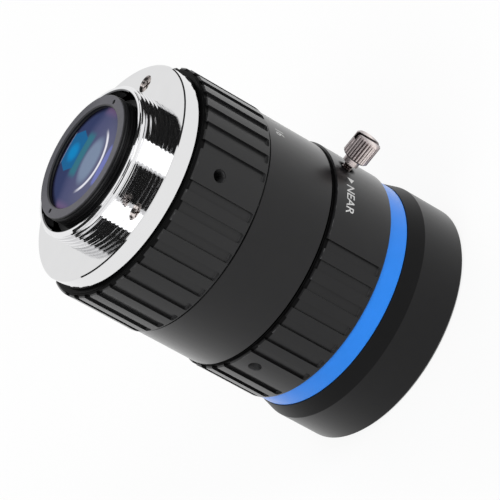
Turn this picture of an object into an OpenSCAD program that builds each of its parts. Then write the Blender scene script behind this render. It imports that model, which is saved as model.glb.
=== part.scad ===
// C-mount machine vision lens, standing on its front rim with the camera mount on top.
// Origin: centre of the flange face that seats on the camera. +Z points out of the mount, towards the camera.
// The view of the reference has -Y towards the viewer.

/* [Mount] */
// Outer radius of the 1 inch - 32 mount thread
thread_r = 12.7; // [12.6:0.05:12.8]
// Length of the thread above the flange face
thread_len = 3.95; // [3.4:0.05:4.2]
// Radius of the bore through the mount
mount_bore_r = 11.82; // [11.4:0.02:12]
// Radius of the chromed flange
flange_r = 18.22; // [17.4:0.02:18.6]
// Thickness of the chromed flange
flange_t = 2.66; // [2.2:0.02:3]
// Edge chamfer of the flange
flange_chamfer = 0.18; // [0.05:0.01:0.4]
// Distance of the mount screws from the axis
screw_pcr = 14.95; // [14.7:0.05:15.1]
// Direction of the first mount screw, in degrees
screw_az = -103.5; // [-180:0.5:180]
// Head radius of a mount screw
screw_head_r = 1.4; // [1.1:0.05:1.5]
// Head height of a mount screw
screw_head_t = 0.9; // [0.6:0.05:1]
// Shank radius of a mount screw
screw_shank_r = 0.7; // [0.5:0.05:0.8]
// Length of a mount screw under its head
screw_len = 4.6; // [3.6:0.1:6]
// How deep a screw head sits under the flange face
screw_sink = 0.35; // [0.1:0.05:0.6]

/* [Main barrel] */
// Radius of the smooth middle of the barrel
barrel_r = 19.12; // [18.8:0.02:19.3]
// Step from the barrel's outside down to the journal of the aperture ring
journal_step = 2.67; // [2.4:0.01:2.9]
// Wall between that journal and the bore that the lens block slides in
journal_wall = 2.95; // [2.8:0.05:3.1]
// Step from the barrel's outside down to the neck of the focus ring
neck_step = 1.62; // [1.4:0.01:2]
// Length of that neck
neck_len = 8.84; // [7:0.02:9.5]
// Length of the smooth middle of the barrel
middle_len = 12.03; // [9:0.01:14]

/* [Aperture ring] */
// How far the lands of the aperture ring stand out from the barrel
aperture_proud = 0.28; // [0.1:0.02:0.6]
// Length of the aperture ring
aperture_len = 12.43; // [11:0.01:14]
// Gap between the flange and the aperture ring
aperture_gap = 0.32; // [0.15:0.01:0.5]
// Gap line between the aperture ring and the barrel's shoulder
shoulder_gap = 0.15; // [0.08:0.01:0.3]
// Direction of its first tapped hole, in degrees
aperture_hole_az = -68.8; // [-180:0.2:180]
// Distance of its tapped holes from its rear edge
aperture_hole_back = 4.58; // [3:0.01:8]

/* [Focus ring] */
// How far the lands of the focus ring stand out from the barrel
focus_proud = 0.35; // [0.15:0.01:0.6]
// Length of the focus ring
focus_len = 11.12; // [10:0.02:13]
// Gap line between the barrel and the focus ring
focus_gap = 0.3; // [0.1:0.01:0.4]
// Direction of the thumb screw, in degrees
thumb_az = -21.6; // [-180:0.2:180]
// Distance of its tapped holes from its rear edge
focus_hole_back = 3.21; // [2.4:0.01:5]
// Travel of the lens block from far to near focus
focus_travel = 2.4; // [1:0.1:2.6]
// Angle covered by the smooth panel round the thumb screw, in degrees
panel_angle = 95; // [55:10:115]

/* [Grip grooves] */
// Number of lands round a ring
grip_count = 36; // [24:12:48]
// Width of one groove
groove_w = 1.62; // [1:0.02:1.9]
// Depth of one groove
groove_depth = 0.45; // [0.3:0.01:0.6]
// Rim that closes the front end of a groove
groove_rim = 0.35; // [0.3:0.05:1]
// Corner radius at the front end of a groove
groove_corner = 0.3; // [0.1:0.05:0.7]
// Drop from the lands to the narrow lip at the rear edge of a ring
lip_drop = 0.6; // [0.5:0.01:0.8]
// Width of that lip along the axis
lip_len = 0.15; // [0.1:0.01:0.3]
// Chamfer between the lip and the lands, along the axis
ring_chamfer = 0.3; // [0.2:0.05:0.6]
// Chamfer at the front edge of the aperture ring, across the axis
front_chamfer = 0.25; // [0.05:0.05:0.4]

/* [Lock screws] */
// Radius of a tapped lock screw hole
tap_r = 1.05; // [0.95:0.01:1.2]
// Radius of the thumb screw's shank
shank_r = 0.97; // [0.95:0.01:1.02]
// Length of the shank that shows outside the ring
shank_out = 0.93; // [0.5:0.01:2]
// Collar radius of the thumb screw
collar_r = 1.32; // [1.2:0.02:1.8]
// Collar length of the thumb screw
collar_len = 1.06; // [0.6:0.02:1.4]
// Head radius of the thumb screw
knob_r = 2.2; // [1.9:0.05:2.6]
// Head length of the thumb screw
knob_len = 3.83; // [3.4:0.01:5]
// Number of ridges round its head
knob_ridges = 26; // [20:1:28]
// Width of the screwdriver slot in its head
knob_slot_w = 0.7; // [0.5:0.05:1]
// Depth of that slot
knob_slot_depth = 1.1; // [0.6:0.1:1.5]

/* [Front] */
// Width of the accent band
accent_len = 3.5; // [2.5:0.1:4.5]
// How far the foot of the hood's shoulder stands out from the accent band
shoulder_proud = 0.12; // [0.02:0.02:0.4]
// Length of the hood's shoulder
shoulder_len = 2.82; // [2:0.02:4]
// How far the hood stands out from the barrel
hood_proud = 0.92; // [0.6:0.02:1.4]
// Length of the hood from the accent band to the rim
hood_len = 10.65; // [9.8:0.05:13]
// Wall of the hood round the filter thread
filter_wall = 1.29; // [1.1:0.01:1.6]
// Depth of the filter thread
filter_len = 3.9; // [3:0.1:4.2]
// Radius of the hood's inner window
window_r = 13.3; // [12.8:0.1:14]
// Outer edge round of the rim
rim_chamfer = 0.35; // [0.1:0.05:0.6]

/* [Lens block] */
// Clearance of a sliding or turning fit
run_gap = 0.05; // [0.02:0.01:0.08]
// Clearance of a screwed or glued joint
seat_gap = 0.02; // [0.01:0.01:0.04]
// Open gap between pieces that pass each other
free_gap = 0.3; // [0.2:0.05:0.5]
// Wall of the lens block's tube
block_wall = 1.25; // [1:0.05:1.3]
// Step from the neck down to the collar that the focus ring carries
collar_step = 1.3; // [1.2:0.05:1.6]
// Step from that collar down to the tube round the front glass
front_tube_step = 1; // [0.9:0.05:1.2]
// Radius of the rear cell in the mount
rear_cell_r = 10.45; // [10.2:0.05:10.6]
// Height of the rear cell's end cap above the flange face
rear_height = 5.3; // [4.8:0.05:5.6]
// Radius of the opening in the end cap
rear_window_r = 8.61; // [8.2:0.01:8.8]
// Thickness of the end cap
cap_t = 0.9; // [0.7:0.05:1.2]
// Edge radius of the rear glass
rear_glass_r = 9.1; // [9:0.02:9.2]
// Edge radius of the doublet
doublet_r = 8.2; // [7.8:0.05:8.4]
// Edge radius of the third glass
third_glass_r = 9.5; // [9:0.05:9.8]
// Edge radius of the second glass
second_glass_r = 11.5; // [11:0.05:11.8]
// Edge radius of the front glass
front_glass_r = 13.1; // [12.8:0.05:13.3]

/* [Iris] */
// Number of iris blades
blade_count = 6; // [6:1:6]
// Distance of the blade pivots from the axis
pivot_pcr = 8.3; // [8.2:0.05:8.4]
// Inner edge radius of the blades, which is the full aperture
iris_open_r = 5.8; // [5.7:0.05:5.9]
// Outer edge radius of the blades
blade_outer_r = 9.7; // [9.4:0.05:9.8]
// Thickness of a blade
blade_t = 0.04; // [0.03:0.01:0.04]
// Tilt that lets each blade overlap the next one, in degrees
blade_tilt = 6.2; // [6.2:0.1:6.4]
// Angle from a blade's pivot to its drive pin, in degrees
blade_span = 135; // [132:1:138]
// How far the blades are closed at rest, in degrees
blade_rest = 15; // [10:1:20]
// How far the blades close in all, in degrees
blade_swing = 28; // [24:1:28]
// Radius of a blade's pivot stud
stud_r = 0.5; // [0.4:0.05:0.6]
// Radius of a blade's drive pin
drive_pin_r = 0.45; // [0.4:0.05:0.5]
// Radius of the pin between the aperture ring and the iris
link_pin_r = 0.7; // [0.5:0.05:0.8]
// Direction of that pin at rest, in degrees
link_az = 90; // [60:1:120]
// Ring degrees for each blade degree
ring_ratio = 2; // [2:1:2]

/* [Hidden] */
$fn = 96;
small_fn = 32;
eps = 0.01;

// Radii that follow the barrel
aperture_r = barrel_r + aperture_proud;
focus_r = barrel_r + focus_proud;
accent_r = barrel_r;
shoulder_r = accent_r + shoulder_proud;
hood_r = barrel_r + hood_proud;
filter_r = hood_r - filter_wall;
journal_r = barrel_r - journal_step;
barrel_bore_r = journal_r - journal_wall;
neck_r = barrel_r - neck_step;
collar_ring_r = neck_r - collar_step;
front_tube_r = collar_ring_r - front_tube_step;

// Heights along the axis
flange_back = -flange_t;
ap_rear = flange_back - aperture_gap;
ap_front = ap_rear - aperture_len;
middle_rear = ap_front - shoulder_gap;
middle_front = middle_rear - middle_len;
neck_front = middle_front - neck_len;
fo_rear = middle_front - focus_gap;
fo_front = fo_rear - focus_len;
accent_front = fo_front - accent_len;
front_rim = accent_front - hood_len;
ap_hole_z = ap_rear - aperture_hole_back;
fo_hole_z = fo_rear - focus_hole_back;

// Lens block
block_r = barrel_bore_r - run_gap;
block_bore_r = block_r - block_wall;
block_rear = flange_back - 0.64;
slide_room = 0.2;
hanger_rear = neck_front - 0.5;
hanger_t = 0.8;
collar_rear = hanger_rear - hanger_t - 0.1;
collar_t = 1;
collar_front = collar_rear - collar_t;
window_t = 1;
window_rear = front_rim + filter_len + window_t + 0.63;
block_front = window_rear + 0.4;

// Iris, from its floor towards the mount
iris_floor = ap_front + 1.61;
floor_t = 1;
iris_seat = iris_floor - floor_t;
blade_z = iris_floor + 0.35;
ring_t = 0.8;
ring_z = iris_floor + 2.5;
iris_wall_r = 10.9;
iris_wall_t = 0.7;
skirt_in_r = iris_wall_r + run_gap;
skirt_out_r = block_bore_r - free_gap;
skirt_front = iris_floor + free_gap;
link_z = iris_floor + 1.2;
skirt_rear = link_z + focus_travel + link_pin_r + 0.6;
ring_open_r = iris_open_r + 0.15;
ring_rest = ring_ratio * blade_rest;
ring_close = ring_ratio * (blade_swing - blade_rest);
link_slot_open = 1;
block_slot_open = 5;
slot_in_r = 7;
slot_half = drive_pin_r + run_gap + 0.17;
blade_pitch = 360 / blade_count;
rivet_out = 0.12;
blade_roll = 4;
blade_mid_r = (iris_open_r + blade_outer_r) / 2;
lobe_r = (blade_outer_r - iris_open_r) / 2 + 0.12;
blade_rise_az = 90 + blade_span / 2 + blade_roll;

// Rear cell
cell_front = skirt_rear + 0.5;
nose_in_r = 7.2;
nose_front = ring_z + ring_t + 0.15;
cell_end = rear_height - cap_t;
doublet_seat = -7;
glass_seat = 0.5;

// Glass heights, each apex on the axis
rear_glass_back = 5.15;
rear_glass_front = -0.6;
rear_glass_back_R = 50;
rear_glass_front_R = 30;
doublet_back = -1.9;
cement_z = -5.2;
doublet_front = -7.6;
doublet_back_R = 24;
cement_R = 16;
doublet_front_R = 60;
cement_t = 0.02;
third_rear = -16.2;
third_front = -21.2;
third_rear_R = 22;
third_front_R = 26;
third_seat = iris_seat - 1;
third_lip_r = 8.6;
second_seat = -26.5;
second_front = -30.4;
second_rear_R = 26;
second_front_R = 20;
front_seat = -40.2;
front_glass_edge = -42.6;
front_glass_dish = 3.2;
front_glass_R = 26;
front_glass_inner_R = 34;

// A ring or stepped tube from its half section, given as [radius, height] points
module turned(points) {
    rotate_extrude() polygon(points);
}

// A plain tube between two heights
module tube(outer_r, inner_r, low, high) {
    turned([[inner_r, low], [outer_r, low], [outer_r, high], [inner_r, high]]);
}

// A round bar along a direction across the axis, between two radii
module cross_bar(az, z, r, from_r, to_r, faces = small_fn) {
    rotate([0, 0, az])
        translate([from_r, 0, z])
            rotate([0, 90, 0])
                cylinder(r = r, h = to_r - from_r, $fn = faces);
}

// A slot round the axis, cut through a wall between two radii
module arc_slot(az_from, az_to, z_low, z_high, from_r, to_r) {
    rotate([0, 0, az_from])
        rotate_extrude(angle = az_to - az_from)
            polygon([[from_r, z_low], [to_r, z_low], [to_r, z_high], [from_r, z_high]]);
}

// Chromed mount: thread, flange and the recesses of its three screws
module mount_flange() {
    color("silver")
        difference() {
            turned([
                [mount_bore_r, flange_back],
                [flange_r, flange_back],
                [flange_r, -flange_chamfer],
                [flange_r - flange_chamfer, 0],
                [thread_r, 0],
                [thread_r, thread_len - 0.3],
                [thread_r - 0.3, thread_len],
                [mount_bore_r + 0.15, thread_len],
                [mount_bore_r, thread_len - 0.15]
            ]);
            for (k = [0:2])
                rotate([0, 0, screw_az + 120 * k])
                    translate([screw_pcr, 0, 0]) {
                        translate([0, 0, -screw_sink - screw_head_t])
                            cylinder(r = screw_head_r + 0.06, h = 2, $fn = small_fn);
                        translate([0, 0, flange_back - 1])
                            cylinder(r = screw_shank_r + 0.1, h = flange_t + 1, $fn = small_fn);
                    }
        }
}

// Three cross-recessed screws that hold the mount to the barrel
module mount_screws() {
    color("gainsboro")
        for (k = [0:2])
            rotate([0, 0, screw_az + 120 * k])
                translate([screw_pcr, 0, -screw_sink - screw_head_t])
                    difference() {
                        union() {
                            cylinder(r = screw_head_r, h = screw_head_t, $fn = small_fn);
                            translate([0, 0, -screw_len])
                                cylinder(r = screw_shank_r, h = screw_len + eps, $fn = small_fn);
                        }
                        for (turn = [0, 90])
                            rotate([0, 0, turn + 30])
                                translate([-0.85, -0.17, screw_head_t - 0.5])
                                    cube([1.7, 0.34, 1]);
                    }
}

// Fixed barrel: journal, smooth middle and the neck that carries the focus ring
module main_barrel() {
    color([0.12, 0.12, 0.13])
        difference() {
            turned([
                [barrel_bore_r, neck_front],
                [neck_r - 0.3, neck_front],
                [neck_r, neck_front + 0.3],
                [neck_r, middle_front],
                [barrel_r - 0.1, middle_front],
                [barrel_r, middle_front + 0.1],
                [barrel_r, middle_rear - 0.1],
                [barrel_r - 0.1, middle_rear],
                [journal_r, middle_rear],
                [journal_r, flange_back],
                [barrel_bore_r, flange_back]
            ]);
            for (k = [0:2])
                rotate([0, 0, screw_az + 120 * k])
                    translate([screw_pcr, 0, -screw_sink - screw_head_t - screw_len - 0.3])
                        cylinder(r = screw_shank_r + seat_gap, h = screw_len + flange_t, $fn = small_fn);
            arc_slot(link_az - ring_rest - link_slot_open, link_az + ring_close + link_slot_open,
                link_z - link_pin_r - run_gap, link_z + link_pin_r + run_gap, barrel_bore_r - 1, journal_r + 1);
            for (az = [link_az - ring_rest - link_slot_open, link_az + ring_close + link_slot_open])
                cross_bar(az, link_z, link_pin_r + run_gap + seat_gap, barrel_bore_r - 1, journal_r + 1);
            cross_bar(guide_az, guide_z, guide_r + seat_gap, barrel_bore_r - 1, neck_r + 1);
        }
}

// Dog-point screw in the neck that keeps the lens block from turning
guide_r = 0.9;
guide_az = 39.4;
guide_z = middle_front - neck_len / 2;
guide_depth = 0.8;
module guide_screw() {
    color("dimgray")
        difference() {
            cross_bar(guide_az, guide_z, guide_r, block_r - guide_depth + 0.15, neck_r - 0.4);
            rotate([0, 0, guide_az])
                translate([neck_r - 1, -0.15, guide_z - 1])
                    cube([2, 0.3, 2]);
        }
}

// Milled grip grooves: open at the rear, square ended with small corners at the front
module grip_grooves(outer_r, first_az, rear, front, skipped) {
    for (k = [0:grip_count - 1])
        if (!skipped[k])
            rotate([0, 0, first_az + 360 / grip_count * (k + 0.5) - 180 / grip_count]) {
                translate([outer_r - groove_depth, -groove_w / 2, front + groove_rim + groove_corner])
                    cube([groove_depth + 1, groove_w, rear - front]);
                translate([outer_r - groove_depth, groove_corner - groove_w / 2, front + groove_rim])
                    cube([groove_depth + 1, groove_w - 2 * groove_corner, 2 * groove_corner]);
                for (side = [-1, 1])
                    translate([outer_r - groove_depth, side * (groove_w / 2 - groove_corner), front + groove_rim + groove_corner])
                        rotate([0, 90, 0])
                            cylinder(r = groove_corner, h = groove_depth + 1, $fn = 24);
            }
}

// Angle between two directions, from 0 to 180 degrees
function apart(a, b) = abs(((a - b + 540) % 360 + 360) % 360 - 180);

// Grooves that the three wide lands and a smooth panel leave out
function left_out(first_az, panel_az, panel) = [
    for (k = [0:grip_count - 1])
        let (az = first_az + 360 / grip_count * k)
            min([for (h = [0:2]) apart(az, first_az + 120 * h)]) < 1 || apart(az, panel_az) < panel / 2
];

// Aperture ring, captured between the flange and the barrel's shoulder
module aperture_ring() {
    color([0.12, 0.12, 0.13])
        difference() {
            turned([
                [journal_r + run_gap, ap_front],
                [aperture_r - front_chamfer, ap_front],
                [aperture_r, ap_front + 0.2],
                [aperture_r, ap_rear - lip_len - ring_chamfer],
                [aperture_r - lip_drop, ap_rear - lip_len],
                [aperture_r - lip_drop, ap_rear],
                [journal_r + run_gap, ap_rear]
            ]);
            grip_grooves(aperture_r, aperture_hole_az, ap_rear, ap_front, left_out(aperture_hole_az, 0, 0));
            for (k = [0:2])
                cross_bar(aperture_hole_az + 120 * k, ap_hole_z, tap_r, journal_r - 1, aperture_r + 1);
            cross_bar(link_az, link_z, link_pin_r + seat_gap, journal_r - 1, journal_r + 1.35);
        }
}

// Pin from the aperture ring through the barrel to the iris drive ring
module aperture_link_pin() {
    color("silver")
        cross_bar(link_az, link_z, link_pin_r, skirt_in_r + 0.12, journal_r + 1.3);
}

// Focus ring with three tapped holes and a smooth panel for the scale
module focus_ring() {
    color([0.12, 0.12, 0.13])
        difference() {
            turned([
                [block_r + run_gap, hanger_rear - hanger_t],
                [collar_ring_r + run_gap + 0.35, hanger_rear - hanger_t],
                [collar_ring_r + run_gap + 0.35, fo_front],
                [focus_r - 0.1, fo_front],
                [focus_r, fo_front + 0.1],
                [focus_r, fo_rear - lip_len - ring_chamfer],
                [focus_r - lip_drop, fo_rear - lip_len],
                [focus_r - lip_drop, fo_rear],
                [neck_r + run_gap, fo_rear],
                [neck_r + run_gap, hanger_rear],
                [block_r + run_gap, hanger_rear]
            ]);
            grip_grooves(focus_r, thumb_az, fo_rear, fo_front, left_out(thumb_az, thumb_az, panel_angle));
            for (k = [0:2])
                cross_bar(thumb_az + 120 * k, fo_hole_z, tap_r, neck_r - 1, focus_r + 1);
        }
}

// Anodised band clamped between the focus ring and the hood
spigot_r = collar_ring_r + run_gap + 0.35 - seat_gap;
module accent_ring() {
    color([0.2, 0.55, 0.95])
        turned([
            [spigot_r + seat_gap, accent_front],
            [accent_r - 0.1, accent_front],
            [accent_r, accent_front + 0.1],
            [accent_r, fo_front - 0.1],
            [accent_r - 0.1, fo_front],
            [spigot_r + seat_gap, fo_front]
        ]);
}

// Front hood: spigot, coned shoulder, filter thread and inner window
module front_hood() {
    color([0.12, 0.12, 0.13])
        turned([
            [front_tube_r + free_gap, collar_front - 0.1],
            [spigot_r, collar_front - 0.1],
            [spigot_r, accent_front],
            [shoulder_r, accent_front],
            [hood_r, accent_front - shoulder_len],
            [hood_r, front_rim + rim_chamfer],
            [hood_r - rim_chamfer, front_rim],
            [filter_r + 0.3, front_rim],
            [filter_r, front_rim + 0.3],
            [filter_r, front_rim + filter_len],
            [filter_r - 0.4, front_rim + filter_len],
            [window_r, window_rear - window_t + 0.35],
            [window_r, window_rear],
            [front_tube_r + free_gap, window_rear]
        ]);
}

// Knurled thumb screw that locks the focus
knob_in = focus_r + shank_out + collar_len;
module focus_lock_screw() {
    color([0.55, 0.5, 0.48])
        difference() {
            union() {
                cross_bar(thumb_az, fo_hole_z, shank_r, neck_r + 0.15, knob_in - collar_len + eps);
                cross_bar(thumb_az, fo_hole_z, collar_r, knob_in - collar_len, knob_in + eps);
                rotate([0, 0, thumb_az])
                    translate([knob_in, 0, fo_hole_z])
                        rotate([0, 90, 0])
                            difference() {
                                union() {
                                    cylinder(r1 = knob_r - 0.25, r2 = knob_r, h = 0.25, $fn = small_fn);
                                    translate([0, 0, 0.25])
                                        cylinder(r = knob_r, h = knob_len - 0.5, $fn = small_fn);
                                    translate([0, 0, knob_len - 0.25])
                                        cylinder(r1 = knob_r, r2 = knob_r - 0.25, h = 0.25, $fn = small_fn);
                                }
                                for (k = [0:knob_ridges - 1])
                                    rotate([0, 0, 360 / knob_ridges * k])
                                        translate([knob_r + 0.06, 0, -1])
                                            rotate([0, 0, 45])
                                                translate([-0.17, -0.17, 0])
                                                    cube([0.34, 0.34, knob_len + 2]);
                            }
            }
            rotate([0, 0, thumb_az])
                translate([knob_in + knob_len - knob_slot_depth, -knob_slot_w / 2, fo_hole_z - knob_r - 1])
                    cube([knob_slot_depth + 1, knob_slot_w, 2 * knob_r + 2]);
        }
}

// Sliding tube that holds all the glass and the iris
module lens_block_tube() {
    color([0.16, 0.16, 0.17])
        difference() {
            turned([
                [second_glass_r + run_gap, front_seat],
                [front_glass_r + run_gap, front_seat],
                [front_glass_r + run_gap, block_front],
                [front_tube_r, block_front],
                [front_tube_r, collar_front],
                [collar_ring_r, collar_front],
                [collar_ring_r, collar_rear],
                [block_r, collar_rear],
                [block_r, block_rear],
                [block_bore_r, block_rear],
                [block_bore_r, iris_seat],
                [third_lip_r, iris_seat],
                [third_lip_r, third_seat],
                [third_glass_r + run_gap, third_seat],
                [third_glass_r + run_gap, second_seat],
                [second_glass_r + run_gap, second_seat]
            ]);
            arc_slot(link_az - ring_rest - block_slot_open, link_az + ring_close + block_slot_open,
                link_z - link_pin_r - slide_room, link_z + focus_travel + link_pin_r + slide_room, block_bore_r - 1, block_r + 1);
            rotate([0, 0, guide_az])
                translate([block_r - guide_depth, -guide_r - run_gap, guide_z - guide_r - slide_room])
                    cube([guide_depth + 1, 2 * (guide_r + run_gap), focus_travel + 2 * (guide_r + slide_room)]);
        }
}

// Rear cell that carries the rear glass through the mount
rib_pitch = 0.55;
module rear_cell() {
    color([0.1, 0.1, 0.1])
        difference() {
            turned([
                [nose_in_r, nose_front],
                [doublet_r, nose_front],
                [doublet_r, cell_front],
                [block_bore_r - seat_gap, cell_front],
                [block_bore_r - seat_gap, block_rear],
                [rear_cell_r, block_rear],
                [rear_cell_r, 0.9],
                [rear_cell_r + 0.95, 0.9],
                [rear_cell_r + 0.95, 1.5],
                [rear_cell_r, 1.5],
                [rear_cell_r, cell_end],
                [rear_glass_r + run_gap, cell_end],
                [rear_glass_r + run_gap, glass_seat],
                [doublet_r + run_gap, glass_seat],
                [doublet_r + run_gap, doublet_seat],
                [nose_in_r, doublet_seat]
            ]);
            for (k = [0:3])
                tube(rear_cell_r + 1, rear_cell_r - 0.25, cell_end - 0.45 - k * rib_pitch, cell_end - 0.2 - k * rib_pitch);
        }
}

// Screwed end cap over the rear glass, with two spanner holes
spanner_pcr = 9.45;
module rear_end_cap() {
    color([0.2, 0.2, 0.2])
        difference() {
            turned([
                [rear_window_r, cell_end + 0.12],
                [rear_glass_r + run_gap, cell_end + 0.12],
                [rear_glass_r + run_gap, cell_end],
                [rear_cell_r - 0.06, cell_end],
                [rear_cell_r - 0.06, rear_height - 0.12],
                [rear_cell_r - 0.18, rear_height],
                [rear_window_r + 0.2, rear_height],
                [rear_window_r, rear_height - 0.2]
            ]);
            for (az = [-4, 176])
                rotate([0, 0, az])
                    translate([spanner_pcr, 0, cell_end + 0.2])
                        cylinder(r = 0.38, h = 2, $fn = small_fn);
        }
}

// A ball whose surface crosses the axis at a height and is centred above or below it
module ball(apex, radius, centre_side) {
    translate([0, 0, apex + centre_side * radius])
        sphere(r = radius, $fn = 160);
}

// Rear glass, convex on both sides
module rear_glass() {
    color([0.45, 0.5, 0.75, 0.5])
        intersection() {
            translate([0, 0, rear_glass_front - 1])
                cylinder(r = rear_glass_r, h = rear_glass_back - rear_glass_front + 2);
            ball(rear_glass_back, rear_glass_back_R, -1);
            ball(rear_glass_front, rear_glass_front_R, 1);
        }
}

// Spacer between the doublet and the rear glass
module rear_spacer() {
    color([0.1, 0.1, 0.1])
        difference() {
            tube(doublet_r, doublet_r - 0.7, doublet_seat + 1, glass_seat + 0.3);
            ball(rear_glass_front - run_gap, rear_glass_front_R, 1);
            ball(doublet_back + run_gap, doublet_back_R, -1);
        }
}

// Rear element of the cemented doublet
module doublet_crown() {
    color([0.6, 0.75, 0.8, 0.5])
        intersection() {
            translate([0, 0, doublet_seat])
                cylinder(r = doublet_r, h = 10);
            ball(doublet_back, doublet_back_R, -1);
            ball(cement_z + cement_t, cement_R, 1);
        }
}

// Front element of the cemented doublet
module doublet_flint() {
    color([0.6, 0.7, 0.7, 0.5])
        difference() {
            translate([0, 0, doublet_seat + seat_gap])
                cylinder(r = doublet_r, h = 3.2);
            ball(cement_z, cement_R, 1);
        }
}

// Iris housing: floor with the pivot holes, wall and flange
module iris_housing() {
    color([0.15, 0.15, 0.15])
        difference() {
            turned([
                [iris_open_r, iris_seat],
                [block_bore_r - seat_gap, iris_seat],
                [block_bore_r - seat_gap, iris_floor],
                [iris_wall_r, iris_floor],
                [iris_wall_r, ring_z - 0.15],
                [iris_wall_r - iris_wall_t, ring_z - 0.15],
                [iris_wall_r - iris_wall_t, iris_floor],
                [iris_open_r, iris_floor]
            ]);
            for (k = [0:blade_count - 1])
                rotate([0, 0, blade_pitch * k])
                    translate([pivot_pcr, 0, iris_seat - 1])
                        cylinder(r = stud_r + run_gap, h = floor_t + 2, $fn = small_fn);
        }
}

// One blade in its own frame: the axis at the origin, its pivot on +X, fully open
module blade_outline() {
    difference() {
        union() {
            rotate_extrude(angle = blade_span)
                polygon([[iris_open_r, 0], [blade_outer_r, 0], [blade_outer_r, blade_t], [iris_open_r, blade_t]]);
            translate([blade_mid_r, 0, 0])
                cylinder(r = lobe_r, h = blade_t, $fn = small_fn);
            rotate([0, 0, blade_span])
                translate([blade_mid_r, 0, 0])
                    cylinder(r = lobe_r, h = blade_t, $fn = small_fn);
        }
        translate([0, 0, -1])
            cylinder(r = iris_open_r, h = 2);
    }
}

// One iris blade with its stud and drive pin, turned to its rest angle
module iris_blade(k) {
    pin_rise = 2 * pivot_pcr * sin(blade_span / 2) * tan(blade_tilt) * cos(blade_roll);
    color([0.25, 0.25, 0.27])
        rotate([0, 0, blade_pitch * k])
            translate([pivot_pcr, 0, 0])
                rotate([0, 0, blade_rest])
                    translate([-pivot_pcr, 0, 0]) {
                        translate([pivot_pcr, 0, blade_z])
                            rotate([0, 0, blade_rise_az])
                                rotate([0, -blade_tilt, 0])
                                    rotate([0, 0, -blade_rise_az])
                                        translate([-pivot_pcr, 0, 0])
                                            blade_outline();
                        translate([pivot_pcr, 0, iris_seat + 0.2])
                            cylinder(r = stud_r, h = blade_z - iris_seat - 0.2 + blade_t + rivet_out, $fn = small_fn);
                        rotate([0, 0, blade_span])
                            translate([pivot_pcr, 0, blade_z + pin_rise - rivet_out])
                                cylinder(r = drive_pin_r, h = ring_z + ring_t - 0.15 - blade_z - pin_rise + rivet_out,
                                    $fn = small_fn);
                    }
}

// Iris drive ring: six slots for the blade pins and a fork for the link pin
module iris_drive_ring() {
    color([0.3, 0.3, 0.32])
        difference() {
            turned([
                [ring_open_r, ring_z],
                [skirt_in_r, ring_z],
                [skirt_in_r, skirt_front],
                [skirt_out_r, skirt_front],
                [skirt_out_r, skirt_rear],
                [skirt_in_r, skirt_rear],
                [skirt_in_r, ring_z + ring_t],
                [ring_open_r, ring_z + ring_t]
            ]);
            for (k = [0:blade_count - 1])
                rotate([0, 0, blade_pitch * k + blade_span + ring_rest]) {
                    translate([slot_in_r, -slot_half, ring_z - 0.5])
                        cube([pivot_pcr - slot_in_r, 2 * slot_half, ring_t + 1]);
                    for (r = [slot_in_r, pivot_pcr])
                        translate([r, 0, ring_z - 0.5])
                            cylinder(r = slot_half, h = ring_t + 1, $fn = small_fn);
                }
            rotate([0, 0, link_az])
                translate([skirt_in_r - 0.02, -link_pin_r - run_gap, skirt_front - 1])
                    cube([3, 2 * (link_pin_r + run_gap), skirt_rear - skirt_front + 0.6]);
        }
}

// Third glass, just in front of the iris
module third_glass() {
    color([0.6, 0.75, 0.8, 0.5])
        intersection() {
            translate([0, 0, third_front - 1])
                cylinder(r = third_glass_r, h = 8);
            ball(third_rear, third_rear_R, -1);
            ball(third_front, third_front_R, 1);
        }
}

// Spacer between the third and the second glass
module middle_spacer() {
    color([0.1, 0.1, 0.1])
        difference() {
            tube(third_glass_r, third_glass_r - 0.8, second_seat, third_front + 2);
            ball(third_front - run_gap, third_front_R, 1);
        }
}

// Second glass, hollow on both sides
module second_glass() {
    color([0.6, 0.75, 0.8, 0.5])
        difference() {
            translate([0, 0, second_front])
                cylinder(r = second_glass_r, h = second_seat - second_front - seat_gap);
            ball(second_seat - 1, second_rear_R, 1);
            ball(second_front + 1.2, second_front_R, -1);
        }
}

// Spacer between the second and the front glass
module front_spacer() {
    color([0.1, 0.1, 0.1])
        tube(second_glass_r, second_glass_r - 0.9, front_seat, second_front - seat_gap);
}

// Front glass, a thick meniscus
module front_glass() {
    color([0.45, 0.5, 0.75, 0.5])
        difference() {
            intersection() {
                translate([0, 0, front_apex() - 1])
                    cylinder(r = front_glass_r, h = front_seat - seat_gap - front_apex() + 1);
                ball(front_apex(), front_glass_R, 1);
            }
            ball(front_seat - front_glass_dish, front_glass_inner_R, 1);
        }
}
function front_apex() = front_glass_edge - (front_glass_R - sqrt(pow(front_glass_R, 2) - pow(front_glass_r, 2)));

// Screwed ring that holds the front glass
module front_retaining_ring() {
    color([0.15, 0.15, 0.15])
        difference() {
            tube(front_glass_r, front_glass_r - 0.9, block_front + 0.2, front_glass_edge + 0.2);
            ball(front_apex() - run_gap, front_glass_R, 1);
        }
}

mount_flange();
mount_screws();
main_barrel();
guide_screw();
aperture_ring();
aperture_link_pin();
focus_ring();
accent_ring();
front_hood();
focus_lock_screw();
lens_block_tube();
rear_cell();
rear_end_cap();
rear_glass();
rear_spacer();
doublet_crown();
doublet_flint();
iris_housing();
iris_drive_ring();
iris_blade(0);  // iris_blade_1
iris_blade(1);  // iris_blade_2
iris_blade(2);  // iris_blade_3
iris_blade(3);  // iris_blade_4
iris_blade(4);  // iris_blade_5
iris_blade(5);  // iris_blade_6
third_glass();
middle_spacer();
second_glass();
front_spacer();
front_glass();
front_retaining_ring();
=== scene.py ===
import math
import bmesh
import bpy
from mathutils import Matrix, Vector


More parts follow.
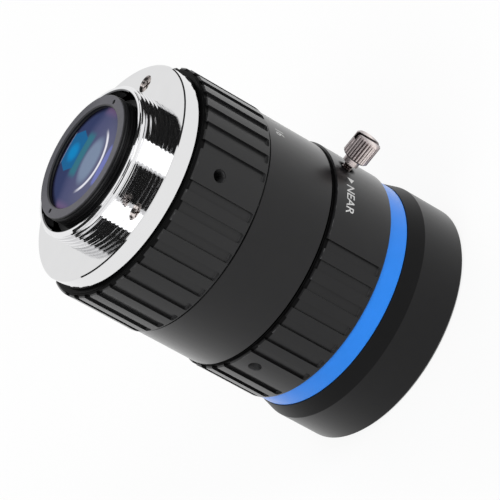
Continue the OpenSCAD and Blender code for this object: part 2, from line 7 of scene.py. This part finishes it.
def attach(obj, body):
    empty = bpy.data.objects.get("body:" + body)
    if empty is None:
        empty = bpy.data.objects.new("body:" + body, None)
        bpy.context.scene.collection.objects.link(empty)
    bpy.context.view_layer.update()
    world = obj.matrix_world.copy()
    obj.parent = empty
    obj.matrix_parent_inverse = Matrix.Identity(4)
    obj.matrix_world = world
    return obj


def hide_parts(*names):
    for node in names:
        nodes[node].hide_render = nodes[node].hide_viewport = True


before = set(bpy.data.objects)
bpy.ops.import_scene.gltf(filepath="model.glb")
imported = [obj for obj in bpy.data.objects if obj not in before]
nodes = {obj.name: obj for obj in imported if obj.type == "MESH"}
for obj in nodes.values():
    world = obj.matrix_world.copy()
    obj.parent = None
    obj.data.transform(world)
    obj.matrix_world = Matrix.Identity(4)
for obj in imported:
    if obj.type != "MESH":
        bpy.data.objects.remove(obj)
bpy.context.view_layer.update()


# The mount is a brass ring, turned and chromed, that screws into a camera: a 1 inch thread with
# 32 turns to the inch over a flat flange. Its thread is one helical groove between flat crests.
class Field:
    """A value that changes over a surface, as one output socket of a material's node tree."""

    def __init__(self, tree, socket):
        self.tree = tree
        self.socket = socket

    def node(self, kind, sockets, out=0, **settings):
        made = self.tree.nodes.new(kind)
        for name, setting in settings.items():
            setattr(made, name, setting)
        for name, given in sockets.items():
            if isinstance(given, Field):
                self.tree.links.new(given.socket, made.inputs[name])
            else:
                made.inputs[name].default_value = given
        return Field(self.tree, made.outputs[out])

    def __add__(self, other):
        return self.node("ShaderNodeMath", {0: self, 1: other}, operation="ADD")

    def __radd__(self, other):
        return self.node("ShaderNodeMath", {0: other, 1: self}, operation="ADD")

    def __sub__(self, other):
        return self.node("ShaderNodeMath", {0: self, 1: other}, operation="SUBTRACT")

    def __rsub__(self, other):
        return self.node("ShaderNodeMath", {0: other, 1: self}, operation="SUBTRACT")

    def __mul__(self, other):
        return self.node("ShaderNodeMath", {0: self, 1: other}, operation="MULTIPLY")

    def __rmul__(self, other):
        return self.node("ShaderNodeMath", {0: other, 1: self}, operation="MULTIPLY")

    def __pow__(self, other):
        return self.node("ShaderNodeMath", {0: self, 1: other}, operation="POWER")


def new_finish(name):
    """A material, its shader, and the place on the object in mm."""
    finish = bpy.data.materials.new(name)
    finish.use_nodes = True
    tree = finish.node_tree
    shader = tree.nodes["Principled BSDF"]
    corner = Field(tree, None)
    point = corner.node("ShaderNodeTexCoord", {}, out="Object")
    point = point.node("ShaderNodeVectorMath", {0: point, 1: (1000, 1000, 1000)}, operation="MULTIPLY")
    return finish, shader, point


def parts(point):
    """The x, y and z of a place, and its distance from the lens's axis."""
    x, y, z = (point.node("ShaderNodeSeparateXYZ", {0: point}, out=name) for name in "XYZ")
    return x, y, z, (x * x + y * y) ** 0.5


def cloud(point, scale, detail=3.0):
    """Soft noise from 0 to 1, with scale patches to the millimetre."""
    return point.node("ShaderNodeTexNoise", {"Vector": point, "Scale": scale, "Detail": detail})


def fade(value, low, high):
    """0 below low, 1 above high, and smooth between them."""
    return value.node("ShaderNodeMapRange", {0: value, 1: low, 2: high}, interpolation_type="SMOOTHSTEP")


def tint(mask, first, second):
    """The first colour where the mask is 0 and the second where it is 1."""
    colours = {}
    for socket, colour in ((6, first), (7, second)):
        colours[socket] = colour if isinstance(colour, Field) else (*colour, 1)
    return mask.node("ShaderNodeMix", {0: mask, **colours}, out=2, data_type="RGBA")


def feed(shader, name, value):
    """Lets a changing value into one of a shader's sockets."""
    value.tree.links.new(value.socket, shader.inputs[name])


def ripple(value, rate):
    """A wave across a value, with rate radians to each of its units."""
    wave = value * rate
    return wave.node("ShaderNodeMath", {0: wave}, operation="SINE")


def relief(height, strength, depth):
    """The surface normal that a height gives, with its depth in metres."""
    return height.node("ShaderNodeBump", {"Strength": strength, "Distance": depth, "Height": height})


def new_piece(name, shape, finish):
    """Makes an object of a finished bmesh, smooth but for its corners."""
    for face in shape.faces:
        face.smooth = True
    for edge in shape.edges:
        edge.smooth = edge.is_manifold and edge.calc_face_angle() < math.radians(35)
    mesh = bpy.data.meshes.new(name)
    shape.to_mesh(mesh)
    shape.free()
    mesh.materials.append(finish)
    piece = bpy.data.objects.new(name, mesh)
    bpy.context.scene.collection.objects.link(piece)
    return piece


def join_in(whole, part):
    """Adds one bmesh to another and frees it."""
    carrier = bpy.data.meshes.new("joined_in")
    part.to_mesh(carrier)
    part.free()
    whole.from_mesh(carrier)


def turn_faces(tube, outwards):
    """Makes the faces of a tube round the z axis look away from the axis, or towards it."""
    bmesh.ops.recalc_face_normals(tube, faces=tube.faces)
    leaning = sum(face.normal.xy.dot(face.calc_center_median().xy) for face in tube.faces)
    if (leaning > 0) != outwards:
        bmesh.ops.reverse_faces(tube, faces=tube.faces)


def helix(shape, section, pitch, turns, steps):
    """Spins an open section, a list of (radius, height), upwards round the z axis into a thread."""
    line = [shape.verts.new((radius, 0, height)) for radius, height in section]
    edges = [shape.edges.new(pair) for pair in zip(line, line[1:])]
    bmesh.ops.spin(
        shape, geom=line + edges, cent=(0, 0, 0), axis=(0, 0, 1), dvec=(0, 0, pitch / steps),
        angle=2 * math.pi * turns, steps=steps * turns, use_merge=False, use_duplicate=False)
    bmesh.ops.remove_doubles(shape, verts=shape.verts, dist=pitch / 200)


thread_r = 0.0127
thread_top = 0.00395
thread_pitch = 0.0254 / 32
thread_depth = 0.00024
top_chamfer = 0.0003
thread = bmesh.new()
helix(thread, [
    (thread_r, 0), (thread_r, 0.46 * thread_pitch), (thread_r - thread_depth, 0.62 * thread_pitch),
    (thread_r - thread_depth, 0.80 * thread_pitch), (thread_r, thread_pitch)], thread_pitch, 7, 96)
bmesh.ops.translate(thread, verts=thread.verts, vec=(0, 0, -thread_pitch))
for level, upward in ((0, -1), (thread_top, 1)):
    bmesh.ops.bisect_plane(
        thread, geom=thread.verts[:] + thread.edges[:] + thread.faces[:], dist=1e-7,
        plane_co=(0, 0, level), plane_no=(0, 0, upward), clear_outer=True)
for vert in thread.verts:
    limit = thread_r - max(0, vert.co.z - thread_top + top_chamfer)
    reach = math.hypot(vert.co.x, vert.co.y)
    if reach > limit:
        vert.co.x *= limit / reach
        vert.co.y *= limit / reach
for level, radius in ((0, thread_r), (thread_top, thread_r - top_chamfer)):
    rim = [
        edge for edge in thread.edges
        if edge.is_boundary and all(abs(vert.co.z - level) < 1e-6 for vert in edge.verts)]
    closing = bmesh.ops.extrude_edge_only(thread, edges=rim)["geom"]
    for vert in closing:
        if isinstance(vert, bmesh.types.BMVert):
            reach = math.hypot(vert.co.x, vert.co.y)
            vert.co.x *= radius / reach
            vert.co.y *= radius / reach
turn_faces(thread, outwards=True)

mount = bmesh.new()
mount.from_mesh(nodes["mount_flange"].data)
bmesh.ops.remove_doubles(mount, verts=mount.verts, dist=1e-7)
smooth_wall = []
for face in mount.faces:
    centre = face.calc_center_median()
    if centre.z > 0.00001 and math.hypot(centre.x, centre.y) > 0.0122 and abs(face.normal.z) < 0.95:
        smooth_wall.append(face)
bmesh.ops.delete(mount, geom=smooth_wall, context="FACES")
join_in(mount, thread)

chrome, shader, point = new_finish("chrome")
x, y, z, radius = parts(point)
shader.inputs["Metallic"].default_value = 1.0
# Painted reflection and painted shade: the chrome's rim and thread are painted lighter than its flange face, and the
# inside of the bore is painted dark.
on_rim = fade(-1 * z, 0.05, 0.2)
on_thread = fade(z, 0.01, 0.06) * fade(radius, 11.95, 12.1)
face_tone = tint(cloud(point, 0.25), (0.69, 0.69, 0.695), (0.74, 0.74, 0.745))
tone = tint(on_rim, face_tone, (0.77, 0.77, 0.775))
tone = tint(fade(radius, 11.95, 12.1), (0.10, 0.10, 0.105), tone)
feed(shader, "Base Color", tint(on_thread, tone, (0.80, 0.80, 0.81)))
feed(shader, "Roughness", cloud(point, 0.8) * 0.04 + 0.03)
turning = cloud(point, 5.0) + 0.5 * ripple(radius, 38.0)
feed(shader, "Normal", relief(turning, 0.06, 0.00001))
mount_look = new_piece("mount_thread_and_flange", mount, chrome)
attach(mount_look, "barrel")
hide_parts("mount_flange")

# Small steel cross-recessed screws hold the mount down; a plain one keeps the lens block from turning,
# and a steel pin links the aperture ring to the iris. They are bare steel with rubbed heads.
def finish_nodes(finish, names):
    """Puts one finish on CAD nodes."""
    for name in names:
        nodes[name].data.materials.clear()
        nodes[name].data.materials.append(finish)


screw_steel, shader, point = new_finish("screw_steel")
shader.inputs["Metallic"].default_value = 1.0
feed(shader, "Base Color", tint(cloud(point, 2.5), (0.30, 0.25, 0.23), (0.62, 0.57, 0.55)))
feed(shader, "Roughness", cloud(point, 4.0) * 0.2 + 0.22)
feed(shader, "Normal", relief(cloud(point, 9.0), 0.2, 0.00001))
finish_nodes(screw_steel, ("mount_screws", "guide_screw", "aperture_link_pin"))

# The barrel, both grip rings and the hood are turned aluminium, anodised black, with a fine satin
# surface from the lathe. Thin bands at the corners of the rings are painted a little paler, in patches, as painted
# edge highlights.
def band(value, low, high, soft):
    """1 from low to high and 0 beyond, with soft edges."""
    return fade(value, low - soft, low + soft) * (1 - fade(value, high - soft, high + soft))


black, shader, point = new_finish("black_anodised")
x, y, z, radius = parts(point)
shader.inputs["Specular IOR Level"].default_value = 0.22
shader.inputs["Coat Weight"].default_value = 1.0
shader.inputs["Coat IOR"].default_value = 1.2
shader.inputs["Coat Roughness"].default_value = 0.3
patches = tint(cloud(point, 0.35), (0.0042, 0.0042, 0.0047), (0.0066, 0.0064, 0.007))
# Painted edge highlights: thin paler bands at the ring corners, broken into patches by noise.
painted_edge_highlight = band(z, -3.5, -3.4, 0.03) + band(z, -28.42, -28.32, 0.03) + band(z, -15.42, -15.34, 0.03)
painted_edge_highlight = painted_edge_highlight * fade(cloud(point, 0.6, 5.0), 0.5, 0.62)
patches = tint(fade(z, -15.5, -15.4), patches, (0.0110, 0.0110, 0.0115))
# Painted light: the end walls of the grooves at the rings' front ends are painted paler, so that their shade does
# not show.
run_out_fill_light = band(z, -15.10, -14.80, 0.03) * (1 - fade(radius, 19.28, 19.36)) * fade(radius, 18.9, 18.93)
run_out_fill_light = run_out_fill_light + band(z, -38.70, -38.40, 0.03) * (1 - fade(radius, 19.35, 19.43)) * fade(radius, 18.9, 18.93)
patches = tint(run_out_fill_light, patches, (0.034, 0.034, 0.035))
feed(shader, "Base Color", tint(painted_edge_highlight, patches, (0.05, 0.05, 0.052)))
feed(shader, "Roughness", cloud(point, 1.4) * 0.08 + 0.29)
grain = cloud(point, 14.0) + 0.35 * ripple(z, 26.0)
feed(shader, "Normal", relief(grain, 0.12, 0.00001))
# Painted shade: a near-black matt shader is mixed in over the gaps between the parts and the groove ends beside
# them, round the thumb screw's hole, on the shoulder and, more lightly, over the hood.
in_gap = band(z, -3.3, -2.0, 0.04) + band(z, -28.2, -27.55, 0.04)
in_gap = in_gap + (band(z, -3.85, -3.3, 0.04) + band(z, -28.75, -28.2, 0.04)) * (1 - fade(radius, 19.05, 19.2))
painted_shade = in_gap.node("ShaderNodeBsdfDiffuse", {"Color": (0.002, 0.002, 0.002, 1)})
lit = Field(black.node_tree, shader.outputs[0])
to_screw = ((0.368 * x + 0.930 * y) ** 2 + (z + 31.1) ** 2) ** 0.5
by_screw = (1 - fade(to_screw, 1.1, 1.8)) * fade(x, 5.0, 6.0)
under = in_gap * 0.85 + by_screw * 0.9 + band(z, -45.3, -42.5, 0.05) * 0.62 + band(z, -60, -45.3, 0.05) * 0.30
shown = in_gap.node("ShaderNodeMixShader", {0: under, 1: lit, 2: painted_shade})
black.node_tree.links.new(shown.socket, black.node_tree.nodes["Material Output"].inputs[0])
finish_nodes(black, ("aperture_ring", "main_barrel", "focus_ring", "front_hood"))

# Each ring has radial lock-screw holes, tapped with a fine thread that catches the light.
# Three are in the aperture ring and two are free in the focus ring.
tapped_wall, shader, point = new_finish("tapped_wall")
shader.inputs["Metallic"].default_value = 0.3
feed(shader, "Base Color", tint(cloud(point, 3.0), (0.008, 0.008, 0.008), (0.07, 0.07, 0.073)))
feed(shader, "Roughness", cloud(point, 5.0) * 0.2 + 0.3)
tap_r = 0.00105
tap_depth = 0.0001
tap_pitch = 0.00035
wall_lip = 0.00012
for name, body, wall_r, depth, height, azimuths in (
        ("aperture_hole_threads", "aperture", 0.0194, 0.0029, -0.00756, (-68.8, 51.2, 171.2)),
        ("focus_hole_threads", "focus", 0.01947, 0.0019, -0.0311, (98.4, 218.4))):
    tapped = bmesh.new()
    for azimuth in azimuths:
        one = bmesh.new()
        turns = int(depth / tap_pitch)
        helix(one, [(tap_r, 0), (tap_r - tap_depth, 0.5 * tap_pitch), (tap_r, tap_pitch)], tap_pitch, turns, 24)
        turn_faces(one, outwards=False)
        bmesh.ops.scale(one, verts=one.verts, vec=(0.99, 0.99, 1))
        in_wall = Matrix.Translation((wall_r - wall_lip - depth, 0, height)) @ Matrix.Rotation(math.pi / 2, 4, "Y")
        bmesh.ops.transform(one, matrix=Matrix.Rotation(math.radians(azimuth), 4, "Z") @ in_wall, verts=one.verts)
        join_in(tapped, one)
    thread_look = new_piece(name, tapped, tapped_wall)
    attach(thread_look, body)

# White engraved and filled lettering: the words for the two ends of the focus travel with their
# arrows on the focus ring, and the aperture numbers on the barrel.
paint, shader, point = new_finish("white_filling")
feed(shader, "Base Color", tint(cloud(point, 3.0), (0.42, 0.42, 0.42), (0.62, 0.62, 0.61)))
feed(shader, "Roughness", cloud(point, 5.0) * 0.2 + 0.5)


def lettering(name, words, height, wall_r, body):
    """Flat letters wrapped round the axis: each word has its middle azimuth, its z and a width factor."""
    sheet = bmesh.new()
    for text, azimuth, level, widen in words:
        curve = bpy.data.curves.new("word", "FONT")
        curve.body = text
        curve.size = height / 0.69
        curve.align_x = "CENTER"
        curve.offset = height * 0.012
        holder = bpy.data.objects.new("word", curve)
        bpy.context.scene.collection.objects.link(holder)
        flat = bpy.data.meshes.new_from_object(holder)
        bpy.data.objects.remove(holder)
        word = bmesh.new()
        word.from_mesh(flat)
        bmesh.ops.subdivide_edges(word, edges=[e for e in word.edges if e.calc_length() > 0.0003], cuts=3)
        bmesh.ops.triangulate(word, faces=word.faces)
        for vert in word.verts:
            angle = math.radians(azimuth) - vert.co.x * widen / wall_r
            vert.co = Vector((wall_r * math.cos(angle), wall_r * math.sin(angle), level + height / 2 - vert.co.y))
        bmesh.ops.recalc_face_normals(word, faces=word.faces)
        for face in word.faces:
            middle = face.calc_center_median()
            if face.normal.x * middle.x + face.normal.y * middle.y < 0:
                face.normal_flip()
        join_in(sheet, word)
    piece = new_piece(name, sheet, paint)
    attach(piece, body)


lettering("focus_words", (("NEAR", -44.3, -0.03095, 1.07), ("FAR", -1.2, -0.03095, 1.07)), 0.00145, 0.01948, "focus")
lettering("aperture_numbers", (
    ("16", -23.8, -0.0180, 0.85), ("11", -12.5, -0.0180, 0.85), ("8", -1.5, -0.0180, 0.85),
    ("5.6", 9.5, -0.0180, 0.85), ("4", 20.5, -0.0180, 0.85), ("2.8", 31.5, -0.0180, 0.85)),
    0.00155, 0.01913, "barrel")
arrows = bmesh.new()
for azimuth, way in ((-30.8, -1), (-12.4, 1)):
    back = math.radians(azimuth)
    tip = back + way * math.radians(3.2)
    corners = [arrows.verts.new((0.01948 * math.cos(angle), 0.01948 * math.sin(angle), level)) for angle, level in (
        (tip, -0.0312), (back, -0.03052), (back, -0.03188))]
    arrow = arrows.faces.new(corners)
    arrow.normal_update()
    if arrow.normal.x * math.cos(tip) + arrow.normal.y * math.sin(tip) < 0:
        arrow.normal_flip()
arrow_look = new_piece("focus_arrows", arrows, paint)
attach(arrow_look, "focus")

# The accent band is the same aluminium, anodised bright blue, clamped between focus ring and hood.
# Its turned surface is a little smoother than the black parts.
blue, shader, point = new_finish("blue_anodised")
x, y, z, radius = parts(point)
shader.inputs["Specular IOR Level"].default_value = 0.1
shader.inputs["Coat Weight"].default_value = 1.0
shader.inputs["Coat IOR"].default_value = 1.2
shader.inputs["Coat Roughness"].default_value = 0.3
feed(shader, "Base Color", tint(cloud(point, 0.5), (0.016, 0.198, 0.71), (0.021, 0.214, 0.78)))
feed(shader, "Roughness", cloud(point, 2.0) * 0.08 + 0.3)
grain = cloud(point, 14.0) + 0.35 * ripple(z, 26.0)
feed(shader, "Normal", relief(grain, 0.1, 0.00001))
finish_nodes(blue, ("accent_ring",))

# The thumb screw that locks the focus is brass, knurled and nickel plated, on a thin threaded shank.
# The plating is warm in colour. The knob is painted darker at its top and bottom and paler along a middle band, and
# the hollows between its ridges and the shank's thread roots are painted dark: painted shade and a painted
# highlight.
nickel, shader, point = new_finish("nickel")
x, y, z, radius = parts(point)
shader.inputs["Metallic"].default_value = 1.0
across = point.node("ShaderNodeMapping", {0: point, 2: (0, 0, math.radians(21.6))}, vector_type="POINT")
turned_y = across.node("ShaderNodeSeparateXYZ", {0: across}, out="Y")
off_axis = (turned_y * turned_y + (z + 31.1) * (z + 31.1)) ** 0.5
ridge_top = fade(off_axis, 2.0, 2.16) + (1 - fade(radius, 21.3, 21.5)) + fade(radius, 24.9, 25.1)
plating_and_painted_light = tint(cloud(point, 1.2), (0.50, 0.43, 0.42), (0.76, 0.68, 0.66))
# Painted shade at the top and bottom of the knob, and a painted highlight band across its middle.
plating_and_painted_light = tint(fade(z, -30.9, -29.9) * 0.6, plating_and_painted_light, (0.22, 0.19, 0.20))
plating_and_painted_light = tint((1 - fade(z, -32.9, -31.7)) * 0.85, plating_and_painted_light, (0.17, 0.145, 0.15))
plating_and_painted_light = tint(band(z, -31.9, -31.1, 0.2) * 0.6, plating_and_painted_light, (0.95, 0.84, 0.80))
# Painted shade: the shank is painted darker, darkest in its thread roots.
shank_shade = tint(fade(off_axis, 0.67, 0.77), (0.02, 0.016, 0.016), (0.26, 0.21, 0.20))
plating_and_painted_light = tint(1 - fade(radius, 20.25, 20.35), plating_and_painted_light, shank_shade)
# Painted shade: the hollows between the knob's ridges are painted nearly black.
feed(shader, "Base Color", tint(ridge_top, (0.030, 0.024, 0.026), plating_and_painted_light))
feed(shader, "Roughness", cloud(point, 3.0) * 0.15 + 0.2)
screw = bmesh.new()
screw.from_mesh(nodes["focus_lock_screw"].data)
bmesh.ops.remove_doubles(screw, verts=screw.verts, dist=1e-7)
screw_axis = Matrix.Rotation(math.radians(-21.6), 4, "Z")
screw_z = -0.0311
shank_core = 0.00064
shank_crest = 0.00079
shank_pitch = 0.00032
shank_end = 0.0204
slot_in_node = 0.00035
slot_half = 0.0005
for vert in screw.verts:
    local = screw_axis.inverted() @ vert.co
    off = math.hypot(local.y, local.z - screw_z)
    if local.x < shank_end + 0.00003 and 0.0001 < off < 0.001:
        local.y *= shank_core / off
        local.z = screw_z + (local.z - screw_z) * shank_core / off
        vert.co = screw_axis @ local
    elif off > 0.0015 and abs(abs(local.y) - slot_in_node) < 0.00001:
        local.y = math.copysign(slot_half, local.y)
        local.z = screw_z + math.copysign(math.sqrt(off ** 2 - local.y ** 2), local.z - screw_z)
        vert.co = screw_axis @ local
wound = bmesh.new()
helix(wound, [
    (shank_core, 0), (shank_crest, 0.00014), (shank_crest, 0.00018), (shank_core, shank_pitch)], shank_pitch, 6, 24)
bmesh.ops.recalc_face_normals(wound, faces=wound.faces)
bmesh.ops.transform(
    wound, verts=wound.verts,
    matrix=screw_axis @ Matrix.Translation((shank_end - 7 * shank_pitch, 0, screw_z)) @ Matrix.Rotation(math.pi / 2, 4, "Y"))
join_in(screw, wound)
screw_look = new_piece("thumb_screw_look", screw, nickel)
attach(screw_look, "thumb_screw")
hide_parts("focus_lock_screw")

# The rear cell and every inner part are aluminium, blackened matt against stray light.
# The cell's outside is cut with a fine thread; the end cap screws on it and is a little greyer.
inner, shader, point = new_finish("black_inner")
x, y, z, radius = parts(point)
shader.inputs["Specular IOR Level"].default_value = 0.3
feed(shader, "Base Color", tint(cloud(point, 0.6), (0.005, 0.005, 0.0055), (0.009, 0.009, 0.0095)))
feed(shader, "Roughness", cloud(point, 2.0) * 0.1 + 0.36)
ridges = ripple(z, 12.0)
feed(shader, "Normal", relief(ridges, 0.5, 0.00006))
finish_nodes(inner, (
    "rear_cell", "rear_spacer", "iris_housing", "middle_spacer", "front_spacer", "front_retaining_ring", "lens_block_tube"))
cap, shader, point = new_finish("cap_grey")
x, y, z, radius = parts(point)
shader.inputs["Specular IOR Level"].default_value = 0.35
# The cap's end face is greyer than its sides, in patches, and darker towards +y.
on_top = fade(z, 5.2, 5.28)
cap_face_tone = tint(cloud(point, 0.6), (0.046, 0.045, 0.055), (0.066, 0.064, 0.076))
cap_face_tone = tint(fade(y, 2.0, 9.0), cap_face_tone, (0.026, 0.026, 0.036))
feed(shader, "Base Color", tint(on_top, (0.012, 0.012, 0.013), cap_face_tone))
feed(shader, "Roughness", cloud(point, 2.0) * 0.08 + 0.4)
ridges = ripple(z, 14.0)
feed(shader, "Normal", relief(ridges + 0.03 * cloud(point, 12.0), 0.5, 0.00006))
finish_nodes(cap, ("rear_end_cap",))

# The iris has six thin leaves of blackened spring steel between a black housing and a brass ring.
# Studs and pins are riveted through the leaves.
leaf, shader, point = new_finish("blade_steel")
shader.inputs["Metallic"].default_value = 0.6
feed(shader, "Base Color", tint(cloud(point, 1.0), (0.03, 0.03, 0.034), (0.05, 0.05, 0.055)))
feed(shader, "Roughness", cloud(point, 3.0) * 0.1 + 0.35)
finish_nodes(leaf, [f"iris_blade_{number}" for number in range(1, 7)])
brass, shader, point = new_finish("brass")
shader.inputs["Metallic"].default_value = 1.0
feed(shader, "Base Color", tint(cloud(point, 1.0), (0.55, 0.40, 0.17), (0.65, 0.50, 0.24)))
feed(shader, "Roughness", cloud(point, 3.0) * 0.1 + 0.25)
finish_nodes(brass, ("iris_drive_ring",))

# The inner elements are clear optical glass with a violet bloom from their coating.
# The front element is the large curved one behind the hood.
glass, shader, point = new_finish("glass")
shader.inputs["Transmission Weight"].default_value = 1.0
shader.inputs["IOR"].default_value = 1.52
shader.inputs["Specular Tint"].default_value = (0.55, 0.45, 1.0, 1)
feed(shader, "Base Color", tint(cloud(point, 0.2), (0.92, 0.93, 1.0), (0.95, 0.95, 1.0)))
feed(shader, "Roughness", cloud(point, 0.5) * 0.01 + 0.002)
finish_nodes(glass, ("doublet_flint", "third_glass", "second_glass", "front_glass", "doublet_crown"))

# The rear element is coated too, but here it is opaque and its colour is painted: the dark inside of the lens behind
# it in indigo and violet as painted shade, the blue opening of the iris as painted light, a pale disc from the
# element in front as painted reflection, and its bright lower edge as a painted highlight.
def size_of(value):
    """A value without its sign."""
    return value.node("ShaderNodeMath", {0: value}, operation="ABSOLUTE")


painted_glass, shader, point = new_finish("rear_glass_painted_look")
x, y, z, radius = parts(point)
shader.inputs["Specular IOR Level"].default_value = 0.0
# Painted shade of the lens's inside: lighter towards -y and darker towards +y, with noise.
drift = y + 1.5 * cloud(point, 0.3)
look = tint(fade(drift, -5.5, 1.5), (0.098, 0.102, 0.170), (0.066, 0.072, 0.146))
look = tint(fade(drift, 0.5, 4.0), look, (0.032, 0.042, 0.104))
# Painted reflection: violet at the sides.
sides = fade(size_of(x), 6.8, 8.6) * band(y, -2.6, 1.8, 1.0)
look = tint(sides, look, (0.160, 0.105, 0.210))
# Painted shade near the rim towards +y.
dim_top = fade(radius, 7.6, 8.5) * fade(y, 0.5, 4.0)
look = tint(dim_top, look, (0.015, 0.016, 0.040))
# Painted reflection: a teal patch in the middle.
teal = band(y, -0.3, 2.0, 0.6) * band(x, -3.3, 3.8, 0.7)
look = tint(teal * 0.85, look, (0.030, 0.150, 0.195))
# Painted reflection: the pale disc from the element in front.
pale = fade(1 - ((x * 0.22) ** 2 + ((y + 2.7) * 0.40) ** 2), 0.0, 0.7)
look = tint(pale * 0.9, look, (0.172, 0.222, 0.312))
# Painted light: the blue opening of the iris, brightest at its core.
waist = 3.5 - 0.36 * size_of(y - 4.5)
slack = waist - size_of(x - 0.3)
opening = fade(slack, -0.12, 0.12) * band(y, 1.8, 7.7, 0.12)
core = fade(1 - ((x * 0.5) ** 2 + ((y - 4.4) * 0.4) ** 2), 0.0, 1.0)
blue_light = tint(core, (0.014, 0.105, 0.245), (0.008, 0.190, 0.430))
look = tint(opening, look, blue_light)
# Painted highlight along the top edge of the opening.
top_edge = band(y, 7.6, 7.9, 0.06) * band(x, -2.4, 2.9, 0.3)
look = tint(top_edge * 0.6, look, (0.30, 0.32, 0.45))
# Painted highlight: the bright arc at the pale disc's lower edge.
to_arc = (x * x + (y - 0.2) * (y - 0.2)) ** 0.5
arc = band(to_arc, 5.68, 6.14, 0.13) * fade(-1 * y, 2.2, 4.2)
look = tint(arc, look, (0.66, 0.66, 0.72))
# Painted reflection: a blue strip low on the element.
strip = band(y, -7.3, -6.1, 0.2) * band(x, -3.1, 3.5, 0.4)
look = tint(strip * 0.85, look, (0.15, 0.17, 0.42))
feed(shader, "Base Color", look)
feed(shader, "Roughness", cloud(point, 0.5) * 0.02 + 0.06)
finish_nodes(painted_glass, ("rear_glass",))

# A pale floor lies under the hood's rim in a white room, with three dark cards that only
# mirror-like surfaces see, and soft lamps all round.
floor_shape = bmesh.new()
bmesh.ops.create_grid(floor_shape, x_segments=1, y_segments=1, size=4.0)
bmesh.ops.translate(floor_shape, verts=floor_shape.verts, vec=(0, 0, -0.0533))
pale_floor, shader, point = new_finish("pale_floor")
shader.inputs["Base Color"].default_value = (0.8, 0.8, 0.8, 1)
shader.inputs["Roughness"].default_value = 0.9
camera_ray = point.node("ShaderNodeLightPath", {}, out="Is Camera Ray")
glossy_ray = point.node("ShaderNodeLightPath", {}, out="Is Glossy Ray")
through_ray = point.node("ShaderNodeLightPath", {}, out="Is Transmission Ray")
seen = camera_ray + glossy_ray + through_ray
glow = point.node("ShaderNodeEmission", {"Strength": 1.0})
matt = Field(pale_floor.node_tree, shader.outputs[0])
shown = point.node("ShaderNodeMixShader", {0: seen * 0.88, 1: matt, 2: glow})
pale_floor.node_tree.links.new(shown.socket, pale_floor.node_tree.nodes["Material Output"].inputs[0])
floor = new_piece("floor", floor_shape, pale_floor)

room = bpy.data.worlds.new("room")
bpy.context.scene.world = room
room.use_nodes = True
backdrop = Field(room.node_tree, room.node_tree.nodes["Background"].outputs[0])
room.node_tree.nodes["Background"].inputs["Color"].default_value = (0.8, 0.8, 0.8, 1)
room.node_tree.nodes["Background"].inputs["Strength"].default_value = 0.6
camera_ray = backdrop.node("ShaderNodeLightPath", {}, out="Is Camera Ray")
glossy_ray = backdrop.node("ShaderNodeLightPath", {}, out="Is Glossy Ray")
through_ray = backdrop.node("ShaderNodeLightPath", {}, out="Is Transmission Ray")
white = backdrop.node("ShaderNodeBackground", {"Color": (1, 1, 1, 1), "Strength": 1.0})
shown = backdrop.node("ShaderNodeMixShader", {0: camera_ray + glossy_ray + through_ray, 1: backdrop, 2: white})
room.node_tree.links.new(shown.socket, room.node_tree.nodes["World Output"].inputs[0])

dark, shader, point = new_finish("dark_card")
shader.inputs["Base Color"].default_value = (0.01, 0.01, 0.01, 1)
shader.inputs["Roughness"].default_value = 1.0
for name, first, last in (("card_left", 162, 214), ("card_right", -32, 44), ("card_front", -112, -66)):
    sheet = bmesh.new()
    start = math.radians(first)
    foot = sheet.verts.new((0.06 * math.cos(start), 0.06 * math.sin(start), -0.008))
    head = sheet.verts.new((0.06 * math.cos(start), 0.06 * math.sin(start), 0.08))
    upright = sheet.edges.new((foot, head))
    bmesh.ops.spin(
        sheet, geom=[foot, head, upright], cent=(0, 0, 0), axis=(0, 0, 1),
        angle=math.radians(last - first), steps=12, use_merge=False, use_duplicate=False)
    card = new_piece(name, sheet, dark)
    card.visible_camera = False
    card.visible_diffuse = False
    card.visible_shadow = False
    card.visible_transmission = False

for name, place, power, wide, mirrored in (
        ("key", (-0.35, -0.55, 0.75), 4.0, 0.5, False), ("fill", (0.6, -0.5, 0.3), 2.0, 0.5, False),
        ("back", (0.1, 0.6, 0.5), 2.5, 0.5, False),
        ("left_box", (-0.33, -0.30, 0.24), 0.37, 0.28, True), ("right_box", (0.33, -0.30, 0.24), 0.37, 0.28, True)):
    lamp = bpy.data.lights.new(name, "AREA")
    lamp.energy = power
    lamp.size = wide
    holder = bpy.data.objects.new(name, lamp)
    holder.location = place
    holder.rotation_euler = (Vector((0, 0, -0.01)) - Vector(place)).to_track_quat("-Z", "Y").to_euler()
    holder.visible_glossy = mirrored
    bpy.context.scene.collection.objects.link(holder)

# The camera stands half a metre off, a little above, and is rolled so that the mount points up and left.
camera = bpy.data.cameras.new("camera")
camera.lens = 249.0
camera.sensor_width = 36.0
camera.clip_start = 0.01
holder = bpy.data.objects.new("camera", camera)
forward = Vector((0.015987, 0.890525, -0.454653)).normalized()
up = Vector((0.876999, 0.205904, 0.434140)).normalized()
right = forward.cross(up).normalized()
turned = Matrix((right, up, -forward)).transposed().to_4x4()
holder.matrix_world = Matrix.Translation((-0.008488, -0.474020, 0.214972)) @ turned
bpy.context.scene.collection.objects.link(holder)
bpy.context.scene.camera = holder
bpy.context.scene.view_settings.view_transform = "Standard"
